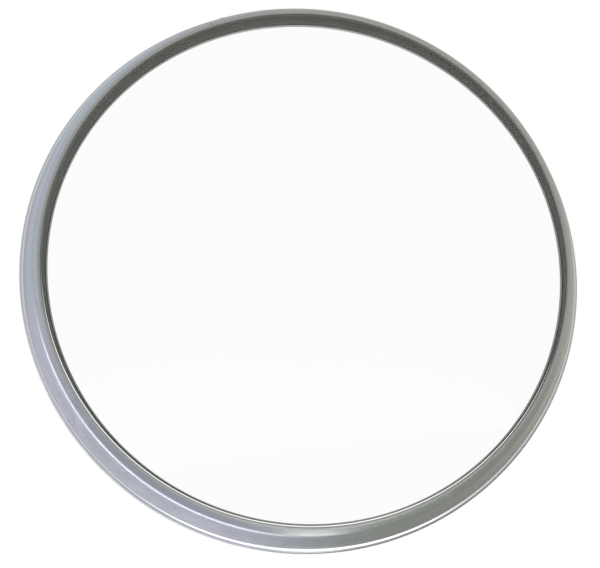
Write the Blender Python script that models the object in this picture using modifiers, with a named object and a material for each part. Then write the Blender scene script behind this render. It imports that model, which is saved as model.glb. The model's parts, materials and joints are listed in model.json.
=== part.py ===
"""Convex security mirror on a wall bracket with a pan joint and a tilt joint. Metres, +Z up.

The wall plate's back lies in the plane Y = 0 and the mirror looks along -Y.
Turned pieces of the mirror's head are profiles of (radius, distance in front of the lip plane).
"""

import math

import bmesh
import bpy
from mathutils import Matrix, Vector

# Driving dimensions
RIM_R = 0.225               # outer radius of the rim, at the bead round its rear edge
LIP_R = 0.2071              # radius of the rim's sharp front lip
LIP_CORNER = 0.0003         # corner that the lip's small arc is cut from, in front of the lip
RIDGE_R = 0.2125            # radius of the rim's rounded ridge
RIDGE_FORWARD = -0.0055     # that ridge, behind the lip
COVE_R = 0.2208             # radius of the hollow between the rim's skirt and its bead
COVE_FORWARD = -0.0288
BEAD_FORWARD = -0.0302      # front of the bead
BEAD_LEAN = 0.0004          # how far the bead's front stands out past its rear
HEM_END_R = 0.2135          # inner edge of the hem behind the bead
RIM_DEPTH = 0.036           # front lip to rear hem
SHEET = 0.0012              # metal of the rim
SHEET_BACK = 0.0010         # metal of the back pan
DOME_SPHERE_R = 0.430       # curvature of the mirror face
DOME_R = 0.2052             # where the curved face meets its flat flange
DOME_THICK = 0.003
FLANGE_R = 0.2075           # edge of the dome's flat flange
WALL_FOOT = -0.0014         # rear end of the rim's short inner wall
FLANGE_FRONT = -0.0049      # front of the dome's flange, at its middle height
FLANGE_BACK = FLANGE_FRONT - DOME_THICK
SEAT_LEAN = Vector((-0.0039, 0.0110))   # slopes of the dome's seat, deeper to the left and the top
GASKET_R = 0.2062           # inside of the gasket's front leg
GASKET_THICK = 0.0012
HOOP_R = 0.2010             # inside of the moulded hoop
HOOP_OUTER_R = 0.2080
PAN_FLANGE_FRONT = -0.0335  # front of the back pan's outer flange
PAN_CENTRE = -0.0452        # middle of the sheet at the pan's raised centre
LIP_Y = -0.240              # plane of the front lip
TILT_Y = -0.168             # cross bolt of the tilt joint
PAN_Y = -0.034              # upright bolt of the pan joint
BOLT_R = 0.0039
BORE_R = 0.0043
EYE_R = 0.012               # knuckle barrels
EYE_HALF = 0.0125
EAR_IN = 0.0153             # inner faces of the ears and lugs, either side of a joint
EAR_THICK = 0.003
TUBE_R = 0.011
TUBE_BORE_R = 0.009
SPIGOT_R = 0.0087
SHOULDER = 0.0135           # joint axis to the end of the arm tube
PIN_REACH = 0.0255          # joint axis to the pin through tube and spigot
PIN_HOLE_R = 0.0024
WALL_WIDTH = 0.080
WALL_HEIGHT = 0.120
WALL_THICK = 0.003
WALL_HOLE_R = 0.0035
RIVET_HOLE_R = 0.0020       # sheet rivets through rim and splice
CLEVIS_HOLE_R = 0.0022      # rivets through clevis and wall plate
BRACKET_HOLE_R = 0.0034     # bolts through bracket, pan and stiffener
INSERT_R = 0.0060           # metal insert of a knob
GAP = 0.0003                # clearance between touching pieces

# Resolution
RING_STEPS = 64
SMALL_STEPS = 20
DOME_STEPS = 7
KNOB_STEPS = 36
CORNER_STEPS = 2
MERGE = 0.00001

FULL_TURN = 2 * math.pi
HALF_TURN = math.pi
QUARTER = math.pi / 2
JOINT_ANGLE = math.radians(112.5)       # where the rim's two ends meet, from +X
JOINT_SLIT = 0.0004                     # open width of that butt joint

AXIS_TURN = {
    "X": Matrix.Rotation(QUARTER, 4, "Y"),
    "-Y": Matrix.Rotation(QUARTER, 4, "X"),
    "Y": Matrix.Rotation(-QUARTER, 4, "X"),
    "Z": Matrix.Identity(4),
    "-Z": Matrix.Rotation(HALF_TURN, 4, "X"),
}


# Scene helpers

def clear_scene():
    for old in list(bpy.data.objects):
        bpy.data.objects.remove(old, do_unlink=True)


def new_collection(name):
    collection = bpy.data.collections.new(name)
    bpy.context.scene.collection.children.link(collection)
    return collection


def new_empty(name, at, parent=None):
    empty = bpy.data.objects.new(name, None)
    PARTS.objects.link(empty)
    empty.parent = parent
    offset = parent.location if parent else Vector()
    empty.location = Vector(at) - offset
    return empty


def link_part(name, mesh):
    part = bpy.data.objects.new(name, mesh)
    PARTS.objects.link(part)
    return part


def finish(parts, colour, roughness, metallic, parent=None):
    """Gives a part, or copies that share a mesh, a material and the empty of their joint."""
    parts = parts if isinstance(parts, list) else [parts]
    skin = bpy.data.materials.new(parts[0].name)
    skin.use_nodes = True
    shader = skin.node_tree.nodes["Principled BSDF"]
    shader.inputs["Base Color"].default_value = (*colour, 1)
    shader.inputs["Roughness"].default_value = roughness
    shader.inputs["Metallic"].default_value = metallic
    parts[0].data.materials.clear()
    parts[0].data.materials.append(skin)
    bpy.context.view_layer.update()
    for part in parts:
        if parent:
            part.location = part.location - parent.matrix_world.translation
            part.parent = parent


def steel(parts, parent=None):
    finish(parts, (0.60, 0.60, 0.58), 0.35, 1.0, parent)


def baked(part):
    """The part's mesh after its modifiers, in its own space."""
    bpy.context.view_layer.update()
    graph = bpy.context.evaluated_depsgraph_get()
    return bpy.data.meshes.new_from_object(part.evaluated_get(graph))


def welded(mesh):
    work = bmesh.new()
    work.from_mesh(mesh)
    bmesh.ops.remove_doubles(work, verts=work.verts, dist=MERGE)
    bmesh.ops.recalc_face_normals(work, faces=work.faces)
    work.to_mesh(mesh)
    work.free()
    mesh.shade_smooth()
    mesh.set_sharp_from_angle(angle=math.radians(30))
    return mesh


# Outline helpers

def rounded(corners, arcs):
    """An open outline through corners, each inner corner an arc of its (radius, steps)."""
    line = [Vector(corners[0])]
    for before, corner, after, (radius, steps) in zip(corners, corners[1:], corners[2:], arcs):
        corner = Vector(corner)
        back = (Vector(before) - corner).normalized()
        ahead = (Vector(after) - corner).normalized()
        half = back.angle(ahead) / 2
        centre = corner + (back + ahead).normalized() * radius / math.sin(half)
        start = (corner + back * radius / math.tan(half) - centre).normalized()
        end = (corner + ahead * radius / math.tan(half) - centre).normalized()
        for step in range(steps + 1):
            line.append(centre + start.slerp(end, step / steps) * radius)
    line.append(Vector(corners[-1]))
    return [tuple(point) for point in line]


def circle(centre, radius, steps=SMALL_STEPS, start=0.0):
    turns = [start + FULL_TURN * step / steps for step in range(steps)]
    return [(centre[0] + radius * math.cos(a), centre[1] + radius * math.sin(a)) for a in turns]


def rounded_box(width, height, radius):
    """A closed rectangle about the origin with round corners."""
    outline = []
    signs = ((1, 1), (-1, 1), (-1, -1), (1, -1))
    for quarter, (side, end) in enumerate(signs):
        centre = (side * (width / 2 - radius), end * (height / 2 - radius))
        for step in range(CORNER_STEPS + 1):
            angle = QUARTER * (quarter + step / CORNER_STEPS)
            outline.append((centre[0] + radius * math.cos(angle), centre[1] + radius * math.sin(angle)))
    return outline


def tongue(half_width, length):
    """A closed strip from Y = 0 to a half-round end centred at Y = length."""
    steps = 10
    turns = [HALF_TURN * step / steps for step in range(steps + 1)]
    end = [(half_width * math.cos(a), length + half_width * math.sin(a)) for a in turns]
    return [(half_width, 0), *end, (-half_width, 0)]


# Solid helpers

def turned(name, profile, closed=False, steps=RING_STEPS, angle=FULL_TURN):
    """A profile of (radius, height) turned about local Z. Its outer side runs from top to bottom."""
    last = len(profile) - 1
    edges = [(i, i + 1) for i in range(last)]
    if closed:
        edges.append((last, 0))
    mesh = bpy.data.meshes.new(name)
    mesh.from_pydata([(radius, 0, height) for radius, height in profile], edges, [])
    part = link_part(name, mesh)
    screw = part.modifiers.new("turn", "SCREW")
    screw.angle = angle
    screw.steps = steps
    screw.render_steps = steps
    screw.use_merge_vertices = angle == FULL_TURN
    screw.merge_threshold = MERGE
    return part


def thicken(part, thickness, offset=0.0):
    solidify = part.modifiers.new("sheet", "SOLIDIFY")
    solidify.thickness = thickness
    solidify.offset = offset
    solidify.use_even_offset = True


def plate(name, outlines, thickness, round_edge=0.0):
    """A flat plate about local Z = 0. The first outline is its edge, the others are holes."""
    curve = bpy.data.curves.new(name, "CURVE")
    curve.dimensions = "2D"
    curve.fill_mode = "BOTH"
    curve.extrude = thickness / 2 - round_edge
    curve.bevel_depth = round_edge
    curve.bevel_resolution = 0
    curve.offset = -round_edge
    for outline in outlines:
        spline = curve.splines.new("POLY")
        spline.points.add(len(outline) - 1)
        for point, (x, y) in zip(spline.points, outline):
            point.co = (x, y, 0, 1)
        spline.use_cyclic_u = True
    drawn = link_part(name + "_outline", curve)
    part = link_part(name, welded(baked(drawn)))
    bpy.data.objects.remove(drawn)
    return part


def copies(name, template, places):
    """Separate parts that share the template's mesh, one at each place, numbered if several."""
    mesh = baked(template)
    bpy.data.objects.remove(template)
    made = []
    for number, place in enumerate(places, 1):
        part = link_part(f"{name}_{number}" if len(places) > 1 else name, mesh)
        part.matrix_world = place
        made.append(part)
    return made


def rod(name, at, radius, length, axis, steps=SMALL_STEPS):
    """A plain cylinder centred at a point."""
    work = bmesh.new()
    bmesh.ops.create_cone(
        work, cap_ends=True, segments=steps, radius1=radius, radius2=radius, depth=length
    )
    mesh = bpy.data.meshes.new(name)
    work.to_mesh(mesh)
    work.free()
    part = link_part(name, mesh)
    mesh.transform(AXIS_TURN[axis])
    part.location = at
    return part


def as_tool(part):
    """Moves a solid out of the model, to be cut with or joined on."""
    PARTS.objects.unlink(part)
    CUTTERS.objects.link(part)
    part.hide_render = True
    part.display_type = "WIRE"
    return part


def boolean(part, tool, operation="DIFFERENCE"):
    modifier = part.modifiers.new(operation.lower(), "BOOLEAN")
    modifier.operation = operation
    modifier.object = as_tool(tool)


def drill(part, places, radius, length, axis, steps=12):
    """Cuts round holes through a part, centred at world points or placed by world matrices."""
    bit = rod(part.name + "_bit", (0, 0, 0), radius, length, axis, steps)
    work = bmesh.new()
    for place in places:
        hole = bit.data.copy()
        hole.transform(place if isinstance(place, Matrix) else Matrix.Translation(place))
        work.from_mesh(hole)
        bpy.data.meshes.remove(hole)
    work.to_mesh(bit.data)
    work.free()
    boolean(part, bit)


def fastener(name, head_r, head_h, shank_r, length, steps=10):
    """A domed head above local Z = 0 on a shank that hangs below it."""
    dome = [(head_r * math.sin(a), head_h * math.cos(a)) for a in (0, 0.45, 0.9, 1.25)]
    profile = [*dome, (head_r, 0), (shank_r, 0), (shank_r, -length), (0, -length)]
    return turned(name, profile, steps=steps)


def face_forward(part):
    """Stands a turned piece of the head on the mirror's axis, at the lip plane."""
    part.rotation_euler = (QUARTER, 0, 0)
    part.location = (0, LIP_Y, 0)
    return part


def on_circle(count, radius, start=0.0):
    """World X and Z of equally spaced points about the mirror's axis."""
    turns = [start + FULL_TURN * step / count for step in range(count)]
    return [(radius * math.cos(a), radius * math.sin(a)) for a in turns]


# Head: the mirror, its rim and its back

def lean(part, share):
    """Leans a turned part with the dome's seat. share says how much a height takes part."""
    part.data = baked(part)
    part.modifiers.clear()
    for vertex in part.data.vertices:
        vertex.co.z -= SEAT_LEAN.dot(vertex.co.xy) * share(vertex.co.z)
    return part


def make_dome():
    reach = math.asin(DOME_R / DOME_SPHERE_R)
    centre = FLANGE_FRONT - DOME_SPHERE_R * math.cos(reach)
    turns = [reach * step / DOME_STEPS for step in range(DOME_STEPS + 1)]
    face = [(DOME_SPHERE_R * math.sin(a), centre + DOME_SPHERE_R * math.cos(a)) for a in turns]
    dome = face_forward(turned("mirror_dome", [*face, (FLANGE_R, FLANGE_FRONT)]))
    thicken(dome, DOME_THICK, offset=-1.0)
    lean(dome, lambda height: 1)
    finish(dome, (0.94, 0.95, 0.96), 0.03, 1.0, TILT)


def make_rim():
    """A lip folded over a short inner wall, a round ridge, a leaning skirt, a bead and a hem."""
    draft = 0.0004
    bead_front = RIM_R - SHEET / 2
    bead_rear = bead_front - BEAD_LEAN
    hem = -RIM_DEPTH + SHEET / 2
    corners = [
        (LIP_R - draft, WALL_FOOT), (LIP_R, LIP_CORNER), (RIDGE_R, RIDGE_FORWARD),
        (COVE_R, COVE_FORWARD), (bead_front, BEAD_FORWARD), (bead_rear, hem), (HEM_END_R, hem),
    ]
    arcs = [(SHEET / 2, 1), (0.006, 3), (0.0012, 1), (0.0016, 3), (0.0018, 3)]
    slit = JOINT_SLIT / RIM_R
    rim = face_forward(turned("rim", rounded(corners, arcs), angle=FULL_TURN - slit))
    thicken(rim, SHEET)
    rim.data.transform(Matrix.Rotation(JOINT_ANGLE + slit / 2, 4, "Z"))
    drill(rim, splice_rivet_places(), RIVET_HOLE_R, 10 * SHEET, "Z", 8)
    finish(rim, (0.56, 0.56, 0.55), 0.30, 1.0, TILT)


def skirt_ends():
    """The corners that the rim's straight skirt runs between, as (radius, forward)."""
    return Vector((RIDGE_R, RIDGE_FORWARD)), Vector((COVE_R, COVE_FORWARD))


def splice_rivet_places():
    """Rivets square to the skirt, two either side of the rim's joint."""
    ridge, cove = skirt_ends()
    tip = math.atan2(ridge.y - cove.y, cove.x - ridge.x)
    aside = math.radians(3.4)
    places = []
    for share in (0.36, 0.74):
        spot = ridge.lerp(cove, share)
        stand = Matrix.Translation((spot.x, 0, spot.y)) @ Matrix.Rotation(tip, 4, "Y")
        for side in (-1, 1):
            spin = Matrix.Rotation(JOINT_ANGLE + side * aside, 4, "Z")
            places.append(HEAD_PLACE @ spin @ stand)
    return places


def make_splice():
    """A strip inside the skirt that bridges the rim's joint, with four rivets through both."""
    ridge, cove = skirt_ends()
    along = (cove - ridge).normalized()
    inward = Vector((along.y, -along.x))
    inset = inward * (SHEET / 2 + SHEET_BACK / 2 + 3 * GAP)
    margin = 0.10
    top = ridge.lerp(cove, margin) + inset
    bottom = cove.lerp(ridge, margin) + inset
    spread = math.radians(11.25)
    splice = face_forward(turned("rim_splice", [tuple(top), tuple(bottom)], steps=4, angle=spread))
    splice.data.transform(Matrix.Rotation(JOINT_ANGLE - spread / 2, 4, "Z"))
    thicken(splice, SHEET_BACK)
    drill(splice, splice_rivet_places(), RIVET_HOLE_R, 10 * SHEET, "Z", 8)
    steel(splice, TILT)
    head_seat = Matrix.Translation((0, 0, SHEET / 2 + GAP))
    template = fastener("rivet", 0.0030, 0.0006, 0.0016, 0.0044, steps=8)
    places = [place @ head_seat for place in splice_rivet_places()]
    steel(copies("splice_rivet", template, places), TILT)


def make_gasket():
    """A rubber channel on the edge of the dome's flange. Its front leg fills the space to the lip."""
    outer = FLANGE_R + 0.0015
    slot = FLANGE_R + GAP
    front = WALL_FOOT - GAP
    shoulder = front - 0.0019
    back = FLANGE_BACK - GASKET_THICK
    inner_back = HOOP_R + 0.0030
    profile = [
        (GASKET_R, front), (FLANGE_R, front), (outer, shoulder), (outer, back), (inner_back, back),
        (inner_back, FLANGE_BACK - GAP), (slot, FLANGE_BACK - GAP),
        (slot, FLANGE_FRONT + GAP), (GASKET_R, FLANGE_FRONT + GAP),
    ]
    gasket = face_forward(turned("edge_gasket", profile, closed=True))
    lean(gasket, lambda height: 0 if height > shoulder - GAP else 1)
    finish(gasket, (0.05, 0.05, 0.05), 0.6, 0.0, TILT)


def make_hoop():
    """A moulded hoop between the dome's flange and the back pan, drilled for the pan's screws."""
    front = FLANGE_BACK - GASKET_THICK - GAP
    back = PAN_FLANGE_FRONT + GAP
    profile = [(HOOP_R, front), (HOOP_OUTER_R, front), (HOOP_OUTER_R, back), (HOOP_R, back)]
    hoop = face_forward(turned("support_hoop", profile, closed=True))
    lean(hoop, lambda height: 1 if height > (front + back) / 2 else 0)
    depth = 0.016
    run_out = 0.001
    middle = LIP_Y - back - depth / 2 + run_out
    drill(hoop, [(x, middle, z) for x, z in PAN_SCREW_SPOTS], 0.0022, depth, "Y", 8)
    finish(hoop, (0.10, 0.10, 0.10), 0.6, 0.0, TILT)


def make_back_pan():
    level = PAN_FLANGE_FRONT - SHEET_BACK / 2
    profile = [
        (0.2200, level), (0.1900, level), (0.1840, level - 0.0040), (0.1290, level - 0.0064),
        (0.1230, level - 0.0036), (0.1150, level - 0.0036), (0.1090, level - 0.0070),
        (0.0740, level - 0.0082), (0.0660, PAN_CENTRE), (0.0, PAN_CENTRE),
    ]
    pan = face_forward(turned("back_pan", profile[::-1]))
    thicken(pan, SHEET_BACK)
    screw_spots = [(x, LIP_Y - level, z) for x, z in PAN_SCREW_SPOTS]
    bolt_spots = [(x, LIP_Y - PAN_CENTRE, z) for x, z in BRACKET_BOLT_SPOTS]
    through = 6 * SHEET_BACK
    drill(pan, screw_spots, 0.0024, through, "Y", 8)
    drill(pan, bolt_spots, BRACKET_HOLE_R, through, "Y")
    finish(pan, (0.52, 0.53, 0.54), 0.42, 1.0, TILT)


def make_pan_screws():
    seat = LIP_Y - PAN_FLANGE_FRONT + SHEET_BACK + GAP
    template = fastener("screw", 0.0040, 0.0024, 0.0018, 0.0130, steps=8)
    places = [Matrix.Translation((x, seat, z)) @ AXIS_TURN["Y"] for x, z in PAN_SCREW_SPOTS]
    steel(copies("pan_screw", template, places), TILT)


def make_stiffener():
    """A disc inside the pan that spreads the bracket's load."""
    holes = [circle((x, z), BRACKET_HOLE_R, 12) for x, z in BRACKET_BOLT_SPOTS]
    disc = plate("stiffener_plate", [circle((0, 0), 0.050, 40), *holes], STIFFENER_THICK)
    disc.rotation_euler = (QUARTER, 0, 0)
    disc.location = (0, STIFFENER_BACK_Y - STIFFENER_THICK / 2, 0)
    steel(disc, TILT)


def make_tilt_bracket():
    """A base plate on the pan with two ears welded on, either side of the tilt joint."""
    holes = [circle((x, z), BRACKET_HOLE_R, 12) for x, z in BRACKET_BOLT_SPOTS]
    base = plate("tilt_bracket", [rounded_box(0.092, 0.050, 0.008), *holes], EAR_THICK)
    base.rotation_euler = (QUARTER, 0, 0)
    base.location = (0, BRACKET_BASE_Y, 0)
    reach = TILT_Y - BRACKET_BASE_Y
    for side in (-1, 1):
        ear = plate("ear", [tongue(EAR_HALF, reach), circle((0, reach), BORE_R, 16)], EAR_THICK)
        ear.rotation_euler = (0, QUARTER, 0)
        ear.location = (side * EAR_MIDDLE, BRACKET_BASE_Y, 0)
        boolean(base, ear, "UNION")
    steel(base, TILT)


def make_bracket_bolts():
    """Four bolts from the bracket through the pan and the stiffener, with nuts inside."""
    seat = BRACKET_BASE_Y + EAR_THICK / 2 + GAP
    template = fastener("bolt", 0.005, 0.003, 0.0029, 0.0138)
    turn = AXIS_TURN["Y"]
    places = [Matrix.Translation((x, seat, z)) @ turn for x, z in BRACKET_BOLT_SPOTS]
    steel(copies("bracket_bolt", template, places), TILT)
    nut_half = 0.0025
    outlines = [circle((0, 0), 0.0058, 6), circle((0, 0), BRACKET_HOLE_R, 12)]
    nut = plate("nut", outlines, 2 * nut_half)
    nut_y = STIFFENER_BACK_Y - STIFFENER_THICK - GAP - nut_half
    places = [Matrix.Translation((x, nut_y, z)) @ turn for x, z in BRACKET_BOLT_SPOTS]
    steel(copies("bracket_nut", nut, places), TILT)


# Arm

def make_knuckle(name, eye_y, side, axis):
    """A drilled barrel on a joint's axis, with a spigot that fills the end of the arm tube."""
    length = 0.038
    knuckle = rod(name, (0, eye_y, 0), EYE_R, 2 * EYE_HALF, axis, 24)
    spigot = rod("spigot", (0, eye_y + side * length / 2, 0), SPIGOT_R, length, "Y", 24)
    boolean(knuckle, spigot, "UNION")
    drill(knuckle, [(0, eye_y, 0)], BORE_R, 3 * EYE_HALF, axis, 16)
    drill(knuckle, [(0, eye_y + side * PIN_REACH, 0)], PIN_HOLE_R, 3 * TUBE_R, "Z")
    finish(knuckle, (0.50, 0.50, 0.50), 0.45, 1.0, PAN)


def make_arm_tube():
    half = (PAN_Y - TILT_Y) / 2 - SHOULDER
    middle = (PAN_Y + TILT_Y) / 2
    profile = [(TUBE_BORE_R, half), (TUBE_R, half), (TUBE_R, -half), (TUBE_BORE_R, -half)]
    tube = turned("arm_tube", profile, closed=True, steps=24)
    tube.rotation_euler = (QUARTER, 0, 0)
    tube.location = (0, middle, 0)
    pin_spots = [(0, PAN_Y - PIN_REACH, 0), (0, TILT_Y + PIN_REACH, 0)]
    drill(tube, pin_spots, PIN_HOLE_R, 3 * TUBE_R, "Z")
    finish(tube, (0.62, 0.62, 0.60), 0.28, 1.0, PAN)
    pin = rod("pin", (0, 0, 0), 0.0020, 0.0212, "Z", 12)
    steel(copies("knuckle_pin", pin, [Matrix.Translation(spot) for spot in pin_spots]), PAN)


# The hardware of one joint, the same for pan and tilt

def joint_places(at, axis, distances):
    frame = Matrix.Translation(at) @ AXIS_TURN[axis]
    return [frame @ Matrix.Translation((0, 0, distance)) for distance in distances]


def make_joint_hardware(prefix, at, axis, fixed_to):
    """Bolt, washers and clamping knob along a joint's axis. The knob is on the axis's far side."""
    outer_face = EAR_IN + EAR_THICK + GAP
    flip = Matrix.Rotation(HALF_TURN, 4, "X")
    bolt = fastener("bolt", 0.0095, 0.004, BOLT_R, outer_face + 0.038, 16)
    seats = [place @ flip for place in joint_places(at, axis, [-outer_face])]
    steel(copies(prefix + "_bolt", bolt, seats), fixed_to)

    ring = [circle((0, 0), 0.0105, 24), circle((0, 0), BORE_R + GAP, 16)]
    friction = plate("friction_washer", ring, 0.0022)
    seats = joint_places(at, axis, [-0.0139, 0.0139])
    friction = copies(prefix + "_friction_washer", friction, seats)
    finish(friction, (0.85, 0.84, 0.80), 0.5, 0.0, PAN)

    ring = [circle((0, 0), 0.0085, 24), circle((0, 0), BORE_R, 16)]
    washer_half = 0.0008
    seats = joint_places(at, axis, [outer_face + washer_half])
    steel(copies(prefix + "_washer", plate("washer", ring, 2 * washer_half), seats), fixed_to)
    make_knob(prefix, at, axis, outer_face + 2 * washer_half + GAP)


def make_knob(prefix, at, axis, start):
    """A six-lobed plastic knob on a metal insert that the bolt screws through."""
    half = 0.007
    turns = [FULL_TURN * step / KNOB_STEPS for step in range(KNOB_STEPS)]
    reach = [0.0160 + 0.0016 * math.cos(6 * a) for a in turns]
    edge = [(r * math.cos(a), r * math.sin(a)) for r, a in zip(reach, turns)]
    bore = circle((0, 0), INSERT_R + GAP, 16)
    knob = plate("knob", [edge, bore], 2 * half, round_edge=0.0012)
    turner = new_empty(prefix + "_knob_axis", at, PAN if prefix == "tilt" else None)
    seats = joint_places(at, axis, [start + half])
    finish(copies(prefix + "_knob", knob, seats), (0.03, 0.03, 0.03), 0.45, 0.0, turner)
    ring = [(BORE_R, half), (INSERT_R, half), (INSERT_R, -half), (BORE_R, -half)]
    insert = turned("insert", ring, closed=True, steps=16)
    insert = copies(prefix + "_knob_insert", insert, seats)
    finish(insert, (0.70, 0.55, 0.28), 0.35, 1.0, turner)


# Wall bracket

def make_pan_clevis():
    """A base on the wall plate with two level lugs welded on, above and below the pan joint."""
    holes = [circle((x, z), CLEVIS_HOLE_R, 12) for x, z in CLEVIS_RIVET_SPOTS]
    base = plate("pan_clevis", [rounded_box(0.052, 0.064, 0.006), *holes], EAR_THICK)
    base.rotation_euler = (QUARTER, 0, 0)
    base.location = (0, CLEVIS_BASE_Y, 0)
    reach = CLEVIS_BASE_Y - PAN_Y
    for side in (-1, 1):
        lug = plate("lug", [tongue(EAR_HALF, reach), circle((0, reach), BORE_R, 16)], EAR_THICK)
        lug.rotation_euler = (0, 0, HALF_TURN)
        lug.location = (0, CLEVIS_BASE_Y, side * EAR_MIDDLE)
        boolean(base, lug, "UNION")
    steel(base)
    seat = CLEVIS_BASE_Y - EAR_THICK / 2 - GAP
    rivet = fastener("rivet", 0.004, 0.0016, 0.0019, -GAP - seat)
    turn = AXIS_TURN["-Y"]
    places = [Matrix.Translation((x, seat, z)) @ turn for x, z in CLEVIS_RIVET_SPOTS]
    steel(copies("clevis_rivet", rivet, places))


def make_wall_plate():
    wall_holes = [circle((x, z), WALL_HOLE_R, 16) for x, z in WALL_HOLE_SPOTS]
    rivet_holes = [circle((x, z), CLEVIS_HOLE_R, 12) for x, z in CLEVIS_RIVET_SPOTS]
    outlines = [rounded_box(WALL_WIDTH, WALL_HEIGHT, 0.010), *wall_holes, *rivet_holes]
    wall = plate("wall_plate", outlines, WALL_THICK)
    wall.rotation_euler = (QUARTER, 0, 0)
    wall.location = (0, -WALL_THICK / 2, 0)
    steel(wall)


def corners(x, z):
    return [(x, z), (-x, z), (-x, -z), (x, -z)]


# Places worked out from the driving dimensions
HEAD_PLACE = Matrix.Translation((0, LIP_Y, 0)) @ Matrix.Rotation(QUARTER, 4, "X")
EAR_MIDDLE = EAR_IN + EAR_THICK / 2
EAR_HALF = 0.013
BRACKET_BASE_Y = LIP_Y - PAN_CENTRE + SHEET_BACK / 2 + GAP + EAR_THICK / 2
STIFFENER_BACK_Y = LIP_Y - PAN_CENTRE - SHEET_BACK / 2 - GAP
STIFFENER_THICK = 0.002
CLEVIS_BASE_Y = -WALL_THICK - GAP - EAR_THICK / 2
PAN_SCREW_SPOTS = on_circle(8, (HOOP_R + HOOP_OUTER_R) / 2, math.radians(22.5))
BRACKET_BOLT_SPOTS = corners(0.033, 0.014)
CLEVIS_RIVET_SPOTS = corners(0.019, 0.025)
WALL_HOLE_SPOTS = corners(0.029, 0.049)

clear_scene()
PARTS = new_collection("convex_security_mirror")
CUTTERS = new_collection("cutters")
PAN = new_empty("pan_axis", (0, PAN_Y, 0))
TILT = new_empty("tilt_axis", (0, TILT_Y, 0), PAN)

make_dome()
make_rim()
make_splice()
make_gasket()
make_hoop()
make_back_pan()
make_pan_screws()
make_stiffener()
make_tilt_bracket()
make_bracket_bolts()
make_knuckle("front_knuckle", TILT_Y, 1, "X")
make_knuckle("rear_knuckle", PAN_Y, -1, "Z")
make_arm_tube()
make_joint_hardware("tilt", (0, TILT_Y, 0), "X", TILT)
make_joint_hardware("pan", (0, PAN_Y, 0), "-Z", None)
make_pan_clevis()
make_wall_plate()
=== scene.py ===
"""The looks of the convex security mirror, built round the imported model.

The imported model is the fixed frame. Every piece here is a finer version of one of its nodes: it keeps
that node's place and size, rides on its body and takes its finish from the node's material slot.
Metres, +Z up. The mirror looks along -Y, and the wall plate's back lies in the plane Y = 0.
"""

import json
import math

import bmesh
import bpy
from mathutils import Matrix, Vector

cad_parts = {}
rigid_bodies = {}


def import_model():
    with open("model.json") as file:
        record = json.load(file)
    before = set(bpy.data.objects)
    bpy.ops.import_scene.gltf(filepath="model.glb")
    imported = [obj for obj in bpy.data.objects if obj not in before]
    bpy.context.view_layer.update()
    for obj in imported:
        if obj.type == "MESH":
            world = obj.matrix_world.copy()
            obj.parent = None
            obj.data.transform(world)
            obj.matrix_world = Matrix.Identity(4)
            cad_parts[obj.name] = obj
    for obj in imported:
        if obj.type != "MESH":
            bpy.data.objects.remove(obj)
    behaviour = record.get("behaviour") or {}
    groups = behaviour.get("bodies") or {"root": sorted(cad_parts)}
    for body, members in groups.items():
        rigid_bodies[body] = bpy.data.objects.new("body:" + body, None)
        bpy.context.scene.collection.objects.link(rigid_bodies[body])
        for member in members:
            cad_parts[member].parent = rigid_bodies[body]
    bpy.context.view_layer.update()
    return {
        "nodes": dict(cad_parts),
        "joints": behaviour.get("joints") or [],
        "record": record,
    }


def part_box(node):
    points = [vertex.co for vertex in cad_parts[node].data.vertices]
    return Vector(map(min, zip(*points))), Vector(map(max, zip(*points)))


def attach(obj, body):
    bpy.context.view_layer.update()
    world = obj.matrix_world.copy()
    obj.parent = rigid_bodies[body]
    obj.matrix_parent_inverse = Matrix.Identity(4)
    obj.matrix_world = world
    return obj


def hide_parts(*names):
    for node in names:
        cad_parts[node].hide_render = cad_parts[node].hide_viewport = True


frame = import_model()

# Driving dimensions. Places, and the sizes that a node's box gives, are read from the frame.
LIP_AHEAD = 0.072           # the lip plane, ahead of the tilt joint
SHEET = 0.0012              # metal of the rim
SHEET_BACK = 0.0010         # metal of the back pan
SHEET_FORK = 0.0030         # metal of the two brackets
GAP = 0.0003                # clearance between touching pieces
LIP_R = 0.2071              # radius of the rim's lip
LIP_CORNER = 0.0003         # corner that the lip's arc is cut from, ahead of the lip plane
RIDGE_R = 0.2125            # radius of the rim's rounded ridge
RIDGE_FORWARD = -0.0055     # that ridge, behind the lip plane
RIDGE_ROUND = 0.013
COVE_R = 0.2208             # radius of the hollow between the rim's skirt and its bead
COVE_FORWARD = -0.0288
BEAD_FORWARD = -0.0302      # front of the bead
BEAD_LEAN = 0.0004          # how far the bead's front stands out past its rear
BEAD_ROUND = 0.0038
BEAD_CORNER = 0.0001        # how far the bead's corner, before it is rounded, lies outside the CAD's rim
HEM_END_R = 0.2135          # inner edge of the hem behind the bead
HEM_FORWARD = -0.0354       # middle of the sheet at the hem
WALL_FOOT = -0.0014         # rear end of the rim's short inner wall
DOME_SPHERE_R = 0.430       # curvature of the mirror face
DOME_R = 0.2052             # where the curved face meets its flat flange
DOME_THICK = 0.003
FLANGE_R = 0.2075           # edge of the dome's flat flange
FLANGE_FRONT = -0.0049      # front of the dome's flange, at its middle height
SEAT_LEAN = Vector((-0.0039, 0.0110))   # slopes of the dome's seat, deeper to the left and the top
GASKET_R = 0.2062           # inside of the gasket's front leg
GASKET_BACK_R = 0.2040      # inside of its back leg
PAN_FLANGE_FRONT = -0.0335  # front of the back pan's outer flange
PAN_CENTRE = -0.0452        # middle of the sheet at the pan's raised centre
BORE_R = 0.0043             # bores that the joint bolts pass through
BOLT_R = 0.0039
EYE_R = 0.012               # knuckle barrels
EAR_HALF = 0.013            # half the width of the brackets' ears
EAR_MIDDLE = 0.0168         # middle of an ear's sheet, to either side of a joint
LINER_MIDDLE = 0.0139       # middle of a friction washer, to either side of a joint
KNOB_HALF = 0.0070          # half the thickness of a knob at its hub
HOLE_R = 0.0034             # holes in the brackets for bolts
RIVET_HOLE_R = 0.0022       # holes in the brackets for rivets
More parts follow.
